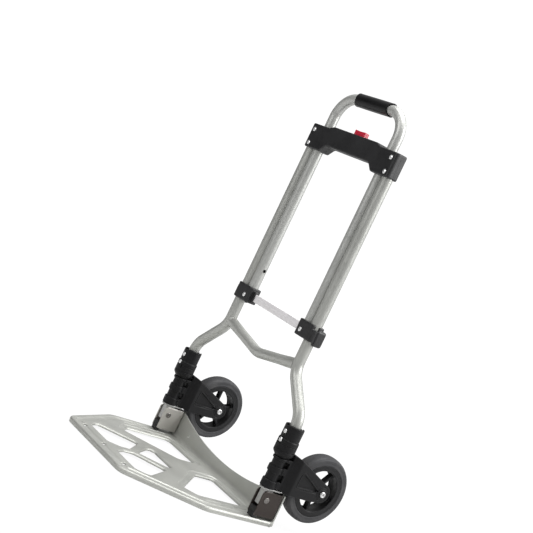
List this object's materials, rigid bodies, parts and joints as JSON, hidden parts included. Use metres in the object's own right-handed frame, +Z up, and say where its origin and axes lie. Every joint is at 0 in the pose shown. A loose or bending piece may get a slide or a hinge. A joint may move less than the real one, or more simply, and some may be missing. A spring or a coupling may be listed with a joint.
{
  "type": "folding hand truck",
  "caption": "Compact folding hand truck with a telescoping foam-grip handle, a fold-up nose plate and wheels that swing inward.",
  "frame": {"origin": "on the floor under the middle of the part as it stands with the nose plate down and the wheels out", "axes": "+Z up along the frame tubes, -Y forward over the nose plate, +Y back to the wheels, +X to the right wheel"},
  "size_m": [0.422, 0.407, 0.759],
  "materials": {
    "frame_paint": "satin silver-grey paint",
    "handle_paint": "satin silver-grey paint",
    "bar_metal": "mill finish flat bar",
    "plate_metal": "satin, lightly blasted",
    "black_plastic": "fine moulded texture",
    "hub_plastic": "moulded",
    "bush_plastic": "plain nylon",
    "red_plastic": "glossy",
    "foam": "fine closed-cell foam",
    "stop_rubber": "plain",
    "tyre": "worn matt rubber",
    "rivet_metal": "bright, domed",
    "zinc_steel": "zinc plated",
    "bright_steel": "bright turned steel"
  },
  "bodies": {
    "frame": {"left_frame_tube": "frame_paint", "right_frame_tube": "frame_paint", "cross_brace": "frame_paint", "block_front": "black_plastic", "block_rear": "black_plastic", "left_guide_bush": "bush_plastic", "right_guide_bush": "bush_plastic", "block_rivets": "rivet_metal", "left_collar": "black_plastic", "right_collar": "black_plastic", "collar_rivets": "rivet_metal", "left_foot": "zinc_steel", "right_foot": "zinc_steel", "button_spring": "bright_steel"},
    "handle": {"handle_tube": "handle_paint", "grip": "foam", "left_clamp": "black_plastic", "right_clamp": "black_plastic", "crossbar": "bar_metal", "clamp_rivets": "rivet_metal"},
    "button": {"button": "red_plastic"},
    "left_pin": {"left_lock_pin": "bright_steel"},
    "right_pin": {"right_lock_pin": "bright_steel"},
    "nose": {"nose_plate": "plate_metal", "left_bracket": "plate_metal", "right_bracket": "plate_metal", "bracket_rivets": "rivet_metal", "hinge_pins": "zinc_steel", "stop_blocks": "stop_rubber"},
    "left_fork": {"left_fork": "black_plastic", "left_axle": "bright_steel", "left_axle_nut": "bright_steel"},
    "right_fork": {"right_fork": "black_plastic", "right_axle": "bright_steel", "right_axle_nut": "bright_steel"},
    "left_wheel": {"left_hub": "hub_plastic", "left_tyre": "tyre"},
    "right_wheel": {"right_hub": "hub_plastic", "right_tyre": "tyre"}
  },
  "joints": [
    {"name": "handle_slide", "type": "slide", "parent": "frame", "child": "handle", "axis": [0, 0, 1], "range_m": [0, 0.268]},
    {"name": "button_press", "type": "slide", "parent": "frame", "child": "button", "axis": [0, 0, -1], "range_m": [0, 0.004], "stiffness_N_per_m": 400, "springref_m": -0.004, "deforming": ["button_spring"]},
    {"name": "left_pin_slide", "type": "slide", "parent": "frame", "child": "left_pin", "axis": [1, 0, 0], "range_m": [0, 0.004]},
    {"name": "right_pin_slide", "type": "slide", "parent": "frame", "child": "right_pin", "axis": [-1, 0, 0], "range_m": [0, 0.004]},
    {"name": "nose_fold", "type": "hinge", "parent": "frame", "child": "nose", "pos_m": [0, 0.041, 0.0445], "axis": [-1, 0, 0], "range_deg": [0, 90]},
    {"name": "left_wheel_swing", "type": "hinge", "parent": "frame", "child": "left_fork", "pos_m": [-0.183, 0.037, 0.1], "axis": [0, 0, -1], "range_deg": [0, 90]},
    {"name": "right_wheel_swing", "type": "hinge", "parent": "frame", "child": "right_fork", "pos_m": [0.183, 0.037, 0.1], "axis": [0, 0, 1], "range_deg": [0, 90]},
    {"name": "left_wheel_spin", "type": "hinge", "parent": "left_fork", "child": "left_wheel", "pos_m": [-0.183, 0.14, 0.085], "axis": [1, 0, 0], "continuous": true},
    {"name": "right_wheel_spin", "type": "hinge", "parent": "right_fork", "child": "right_wheel", "pos_m": [0.183, 0.14, 0.085], "axis": [1, 0, 0], "continuous": true}
  ],
  "couplings": [
    {"joint": "left_pin_slide", "follows": "button_press", "ratio": 1},
    {"joint": "right_pin_slide", "follows": "button_press", "ratio": 1},
    {"joint": "left_wheel_swing", "follows": "nose_fold", "ratio": 1},
    {"joint": "right_wheel_swing", "follows": "nose_fold", "ratio": 1}
  ]
}
